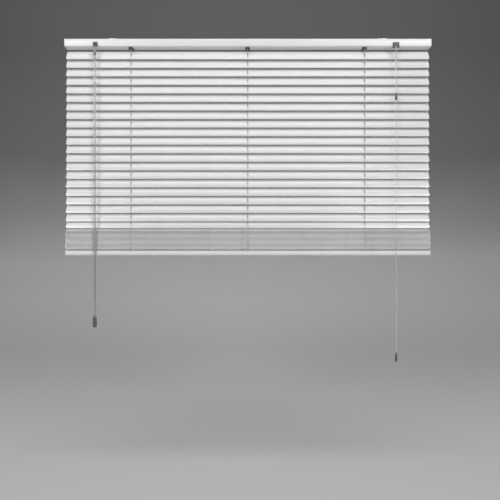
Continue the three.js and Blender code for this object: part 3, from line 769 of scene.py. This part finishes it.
place(shell("bottom_rail_profile", outline, -rail_half, rail_half, RAIL_SHEET),
      "bottom_rail", RAIL_PAINT, ["bottom_rail"])
cap_outline = arc((half - UPPER_CORNER, top - UPPER_CORNER), UPPER_CORNER, 90, 0, 4)
cap_outline += arc((half - CORNER, low + CORNER), CORNER, 0, -90, 8)
cap_outline += arc((CORNER - half, low + CORNER), CORNER, -90, -180, 8)
cap_outline += arc((UPPER_CORNER - half, top - UPPER_CORNER), UPPER_CORNER, 180, 90, 4)
for side, label in ((-1, "left"), (1, "right")):
    bm = bmesh.new()
    add_plate(bm, cap_outline, side * rail_half, side * (rail_half + CAP_SHEET))
    cap = to_object(f"bottom_cap_{label}", bm)
    soften(cap, 0.35)
    place(cap, "bottom_rail", WHITE_PLASTIC)
for index, ladder in enumerate(LADDERS, 1):
    button = turned(f"ladder_button_{index}", [
        (0, low - 1.9), (2.6, low - 1.9), (3.7, low - 1.5), (4.2, low - 0.7), (4.3, low + 0.2),
        (3.2, low + 0.4), (0, low + 0.4),
    ])
    button.location = (ladder * MM, 0, 0)
    bpy.context.view_layer.update()
    place(button, "bottom_rail", WHITE_PLASTIC)

# ---- headrail ------------------------------------------------------------------------
rail_top = RAIL_HIGH.z
rail_depth = RAIL_HIGH.y
LIP = 3.0
TILTER_X = -373.5
HOOD_NOTCH_HALF, HOOD_NOTCH_TOP = 5.4, -10.3
NOSE_NOTCH_HALF, NOSE_NOTCH_TOP = 7.1, -12.2
NOTCH_SNAP = 1.05      # how far a station may move to reach a notch's top edge
NOTCH_DEPTH = 3.0      # how far the notches reach into the rail's floor
SLOT_HALF, SLOT_FRONT, SLOT_BACK = 2.6, -8.0, 8.5


def half_section(side):
    """One side of the headrail's bent sheet, from its lip down to the middle of the floor."""
    bulge = 0.5
    wall_top = rail_top - 1.2
    wall_bottom = rail_bottom + 1.8
    steps = 8
    wall = [(side * rail_depth, wall_top)]
    for i in range(1, steps):
        z = wall_top + (wall_bottom - wall_top) * i / steps
        wall.append((side * (rail_depth + bulge * math.sin(math.pi * i / steps)), z))
    bend = 1.6
    corner = arc((rail_depth - bend, rail_bottom + bend), bend, 0, -90, 5)
    corner = [(side * y, z) for y, z in corner]
    lip = [(side * (rail_depth - LIP), rail_top), (side * (rail_depth - 1.0), rail_top)]
    lip += [(side * (rail_depth - 0.3), rail_top - 0.35)]
    return lip + wall + corner


front = half_section(-1)
back = half_section(1)
notch_stations = [(y, rail_bottom) for y in (NOTCH_DEPTH - rail_depth, SLOT_FRONT, 0, SLOT_BACK)]
path = front + notch_stations + list(reversed(back))
# stations on the front wall move to the top edge of each notch, so that the cuts are straight
for notch_top in (HOOD_NOTCH_TOP, NOSE_NOTCH_TOP):
    moved = []
    for y, z in path:
        near_notch = y < 0.5 - rail_depth and abs(z - notch_top) < NOTCH_SNAP
        moved.append((y, notch_top) if near_notch else (y, z))
    path = moved
rail_columns = {RAIL_LOW.x, RAIL_HIGH.x}
for ladder in LADDERS:
    rail_columns |= {ladder - SLOT_HALF, ladder + SLOT_HALF}
rail_columns |= {TILTER_X - HOOD_NOTCH_HALF, TILTER_X + HOOD_NOTCH_HALF}
rail_columns |= {LOCK_X - NOSE_NOTCH_HALF, LOCK_X + NOSE_NOTCH_HALF}


def rail_opening(x, y, z):
    """Ladder slots in the floor, and the two notches for the tilter and the cord lock."""
    if any(abs(x - ladder) < SLOT_HALF for ladder in LADDERS):
        return SLOT_FRONT < y < SLOT_BACK and z < rail_bottom + 0.5
    if abs(x - TILTER_X) < HOOD_NOTCH_HALF:
        return y < -rail_depth + NOTCH_DEPTH and z < HOOD_NOTCH_TOP
    if abs(x - LOCK_X) < NOSE_NOTCH_HALF:
        return y < -rail_depth + NOTCH_DEPTH and z < NOSE_NOTCH_TOP
    return False


rail = folded("headrail_profile", path, sorted(rail_columns), RAIL_SHEET, rail_opening)
place(rail, "headrail", RAIL_PAINT, ["headrail"])

for node in ("end_cap_left", "end_cap_right"):
    place(softened_copy(f"{node}_moulded", node, 0.3),
          "headrail", WHITE_PLASTIC, [node])
for node in ("bracket_left", "bracket_right"):
    place(softened_copy(f"{node}_pressed", node, 0.2), "headrail", ZINC_STEEL, [node])
place(softened_copy("tilter_housing_moulded", "tilter_housing", 0.35), "headrail", GREY_PLASTIC,
      ["tilter_housing"])
place(softened_copy("cord_lock_moulded", "cord_lock_body", 0.35), "headrail", GREY_PLASTIC,
      ["cord_lock_body"])

# ---- wand ----------------------------------------------------------------------------
EYE = Vector(joints["wand_swing"]["pos_m"]) / MM
wand_low, wand_high = box_mm("wand")
grip_low, grip_high = box_mm("wand_grip")
sleeve_low, sleeve_high = box_mm("wand_sleeve")


def at_wand(obj):
    """Moves a piece that is drawn on the Z axis to the wand's line."""
    obj.location = (EYE.x * MM, EYE.y * MM, 0)
    bpy.context.view_layer.update()
    return obj


def hexagonal_rod():
    """A hexagonal rod with slightly hollow faces and rounded corners, drilled for the hook."""
    bm = bmesh.new()
    sides = 36
    rings = []
    levels = [(0.0, wand_low.z), (2.3, wand_low.z), (2.65, wand_low.z + 0.4)]
    levels += [(2.65, wand_low.z + (wand_high.z - wand_low.z) * i / 24) for i in range(1, 24)]
    levels += [(2.65, wand_high.z - 0.5), (2.3, wand_high.z), (0.9, wand_high.z)]
    levels += [(0.9, wand_high.z - 9.5), (0.0, wand_high.z - 9.5)]
    for radius, z in levels:
        if radius == 0:
            rings.append([bm.verts.new((0, 0, z))])
            continue
        ring = []
        for k in range(sides):
            turn = 2 * math.pi * k / sides
            ridge = abs(math.cos(3 * turn)) ** 1.5
            r = radius * (0.87 + 0.13 * ridge) if radius > 1 else radius
            ring.append(bm.verts.new((r * math.cos(turn), r * math.sin(turn), z)))
        rings.append(ring)
    for lower_ring, upper_ring in zip(rings, rings[1:]):
        join_rings(bm, lower_ring, upper_ring, sides)
    return to_object("wand_rod", bm, 50)


place(at_wand(hexagonal_rod()), "wand", CLEAR_ACRYLIC, ["wand"])
inner = 3.05
outer = 3.75
sleeve = turned("wand_sleeve_tube", [
    (inner, sleeve_low.z), (outer - 0.2, sleeve_low.z), (outer, sleeve_low.z + 0.3),
    (outer, sleeve_high.z - 1.2), (outer - 0.25, sleeve_high.z - 0.4), (outer - 0.5, sleeve_high.z),
    (inner, sleeve_high.z), (inner, sleeve_low.z),
])
place(at_wand(sleeve), "wand_sleeve", CLEAR_VINYL, ["wand_sleeve"])
grip = turned("wand_grip_ribbed", [
    (0, grip_low.z), (3.4, grip_low.z), (4.2, grip_low.z + 0.5), (4.65, grip_low.z + 1.5),
    (4.7, grip_low.z + 4),
    (4.7, grip_high.z - 7), (4.5, grip_high.z - 5), (4.0, grip_high.z - 2.2), (3.6, grip_high.z - 0.4),
    (3.3, grip_high.z), (3.0, grip_high.z), (3.0, wand_low.z - 0.3), (0, wand_low.z - 0.3),
], 96, 16, 0.4)
place(at_wand(grip), "wand", GREY_PLASTIC, ["wand_grip"])

# the hook: a straight shank that opens into a loop through the worm's eye
SHANK_BOTTOM = -39.5
LOOP_RADIUS = 2.2
LOOP_TURN = 335
HOOK_WIRE = 0.5
loop_centre = EYE.z - 1.45
loop_bottom = loop_centre - LOOP_RADIUS
hook_points = [(0, 0, SHANK_BOTTOM), (0, 0, loop_bottom - 2.2), (0, 0.1, loop_bottom - 1.0)]
for i in range(21):
    turn = math.radians(-90 + LOOP_TURN * i / 20)
    hook_points.append((0, LOOP_RADIUS * math.cos(turn), loop_centre + LOOP_RADIUS * math.sin(turn)))
hook = tube("wand_hook_wire", hook_points, HOOK_WIRE, 10)
place(at_wand(hook), "wand", HOOK_STEEL, ["wand_hook"])

# ---- inside the headrail -------------------------------------------------------------
HIDDEN_WORKS = (
    ("tilt_rod", ZINC_STEEL), ("tilter_gear", WHITE_PLASTIC),
    ("tilter_worm", HOOK_STEEL), ("cord_lock_roller", ROLLER_BRASS),
)
for node, material in HIDDEN_WORKS:
    data = frame["nodes"][node].data
    data.materials.clear()
    data.materials.append(material)


def ladder_outlet(name):
    """The flared collar that lines a ladder slot and hangs a little below the headrail."""
    middle = (SLOT_FRONT + SLOT_BACK) / 2
    deep = (SLOT_BACK - SLOT_FRONT) / 2 - 0.2
    levels = [
        (SLOT_HALF - 0.2, deep, rail_bottom + 0.9), (SLOT_HALF - 0.2, deep, rail_bottom - 0.2),
        (SLOT_HALF + 0.4, deep + 0.3, rail_bottom - 0.25),
        (SLOT_HALF + 0.7, deep + 0.3, rail_bottom - 0.6),
        (SLOT_HALF + 3.2, deep + 0.4, rail_bottom - 2.3),
        (SLOT_HALF + 3.1, deep + 0.2, rail_bottom - 2.6),
        (SLOT_HALF + 2.3, deep, rail_bottom - 2.4), (SLOT_HALF - 0.9, deep - 0.9, rail_bottom - 0.4),
        (SLOT_HALF - 0.9, deep - 0.9, rail_bottom + 0.9),
    ]
    bm = bmesh.new()
    rings = []
    around = 32
    for half_x, half_y, z in levels:
        ring = []
        for k in range(around):
            turn = 2 * math.pi * k / around
            c, s = math.cos(turn), math.sin(turn)
            x = half_x * math.copysign(abs(c) ** 0.35, c)
            y = middle + half_y * math.copysign(abs(s) ** 0.35, s)
            ring.append(bm.verts.new((x, y, z)))
        rings.append(ring)
    for low_ring, high_ring in zip(rings, rings[1:] + rings[:1]):
        join_rings(bm, low_ring, high_ring, around)
    return to_object(name, bm, 50)


CRADLE_SHEET = 1.4
LANES = (-6.6, -8.0, -9.4)     # y of the three cords along the rail
LANE_LEAD = 20.0               # from a ladder to where its cord is in its lane
LANE_SAG = 1.2
for index, ladder in enumerate(LADDERS, 1):
    # a cradle holds the drum over the ladder slot, and a collar lines the slot
    bm = bmesh.new()
    for x in (ladder - 7.0, ladder + 5.6):
        yz = [(-6.5, rail_bottom + 0.7), (9.5, rail_bottom + 0.7), (8.8, -9.6), (4.9, -9.6)]
        yz += arc((2, -12.5), 3.0, 15, -195, 10)
        yz += [(-0.9, -9.6), (-4.8, -9.6)]
        add_plate(bm, yz, x, x + CRADLE_SHEET)
    cradle = to_object(f"drum_cradle_{index}", bm)
    soften(cradle, 0.2)
    place(cradle, "headrail", WHITE_PLASTIC)
    outlet = ladder_outlet(f"ladder_outlet_{index}")
    outlet.location = (ladder * MM, 0, 0)
    bpy.context.view_layer.update()
    place(outlet, "headrail", DARK_PLASTIC)

    # the lift cord turns over the cradle and runs along the rail to the lock
    lane = LANES[index - 1]
    lane_z = rail_bottom + 4.6
    points = [(ladder, 0, rail_bottom + 2.5), (ladder + 0.6, -1.2, rail_bottom + 3.6),
              (ladder + 2.5, -3.6, rail_bottom + 4.4),
              (ladder + 9, lane + 0.6, lane_z), (ladder + LANE_LEAD, lane, lane_z)]
    steps = 12
    for i in range(1, steps + 1):
        x = ladder + LANE_LEAD + (LOCK_X - 9 - ladder - LANE_LEAD) * i / steps
        points.append((x, lane, lane_z - LANE_SAG * math.sin(math.pi * i / steps)))
    place(tube(f"lift_cord_run_{index}", points, LIFT_RADIUS), "headrail", CORD)

# short ends of the three cords, from the lock's roller down inside its nose
for number, offset in enumerate((-1, 0, 1), 1):
    x = LOCK_X + offset * 1.15
    points = [(x, -9.0, -15.2), (x, -13.5, -15.3), (x, -15.4, -15.9),
              (x, -16.3, -17.0), (x, CORD_Y, -18.6)]
    place(tube(f"cord_feed_{number}", points, UPPER_RADIUS * 0.98), "headrail", CORD)


# ---- floor, backdrop and light -------------------------------------------------------
FLOOR = -1.15
FLOOR_FRONT, FLOOR_BACK = -6.0, 2.2
SWEEP_RADIUS = 1.6
SWEEP_TOP = 4.5
SWEEP_HALF_WIDTH = 7.0
floor_bm = bmesh.new()
sweep_path = [(FLOOR_FRONT, FLOOR), (FLOOR_BACK, FLOOR)]
for degrees in range(10, 91, 10):
    turn = math.radians(degrees)
    sweep_y = FLOOR_BACK + SWEEP_RADIUS * math.sin(turn)
    sweep_path.append((sweep_y, FLOOR + SWEEP_RADIUS * (1 - math.cos(turn))))
sweep_path += [(FLOOR_BACK + SWEEP_RADIUS, SWEEP_TOP)]
rows = []
for x in (-SWEEP_HALF_WIDTH, SWEEP_HALF_WIDTH):
    rows.append([floor_bm.verts.new((x, y, z)) for y, z in sweep_path])
for j in range(len(sweep_path) - 1):
    floor_bm.faces.new((rows[0][j], rows[0][j + 1], rows[1][j + 1], rows[1][j]))
backdrop_data = bpy.data.meshes.new("studio_sweep")
floor_bm.to_mesh(backdrop_data)
floor_bm.free()
backdrop_data.polygons.foreach_set("use_smooth", [True] * len(backdrop_data.polygons))
backdrop = bpy.data.objects.new("studio_sweep", backdrop_data)
bpy.context.scene.collection.objects.link(backdrop)
# painted pale below and deeper grey towards the top: the darker top is painted shade
sweep_nodes = Nodes("studio_floor")
sweep_parts = sweep_nodes.new("ShaderNodeSeparateXYZ")
sweep_nodes.link(sweep_nodes.place, sweep_parts.inputs["Vector"])
sweep_height = sweep_nodes.new("ShaderNodeMapRange")
for socket, value in (("From Min", -1.1), ("From Max", 1.6), ("To Min", 0.0), ("To Max", 1.0)):
    sweep_height.inputs[socket].default_value = value
sweep_nodes.link(sweep_parts.outputs["Z"], sweep_height.inputs["Value"])
mottle = sweep_nodes.math("MULTIPLY", sweep_nodes.noise((3, 3, 3), 2), 0.06)
sweep_share = sweep_nodes.math("ADD", sweep_height.outputs["Result"], mottle)
SWEEP_GREYS = ((0.1, 0.68), (0.22, 0.62), (0.38, 0.42), (0.6, 0.25), (1.0, 0.18))
sweep_nodes.link(sweep_nodes.ramp(sweep_share, SWEEP_GREYS), sweep_nodes.shader.inputs["Base Color"])
sweep_nodes.set(roughness=0.85, specular=0.1)
backdrop_data.materials.append(sweep_nodes.material)

world = bpy.data.worlds.new("studio")
bpy.context.scene.world = world
world.use_nodes = True
world.node_tree.nodes["Background"].inputs["Color"].default_value = (0.96, 0.98, 0.97, 1)
world.node_tree.nodes["Background"].inputs["Strength"].default_value = 0.05


def softbox(name, location, target, width, height, power):
    """A rectangular area light aimed at target. Sizes are in metres, power in watts."""
    data = bpy.data.lights.new(name, "AREA")
    data.shape = "RECTANGLE"
    data.size = width
    data.size_y = height
    data.energy = power
    light = bpy.data.objects.new(name, data)
    light.location = location
    light.rotation_euler = (Vector(target) - Vector(location)).to_track_quat("-Z", "Y").to_euler()
    bpy.context.scene.collection.objects.link(light)


softbox("key_left", (-1.5, -2.6, 1.0), (0, 0, -0.25), 1.0, 1.0, 35.5)
softbox("key_right", (1.5, -2.6, 1.0), (0, 0, -0.25), 1.0, 1.0, 34.5)
softbox("top_strip", (0.0, -1.5, 2.0), (0, 0, -0.3), 2.2, 0.5, 18)
softbox("floor_wash", (0.0, 1.6, 3.0), (0, 2.6, -1.15), 6.0, 1.0, 60)
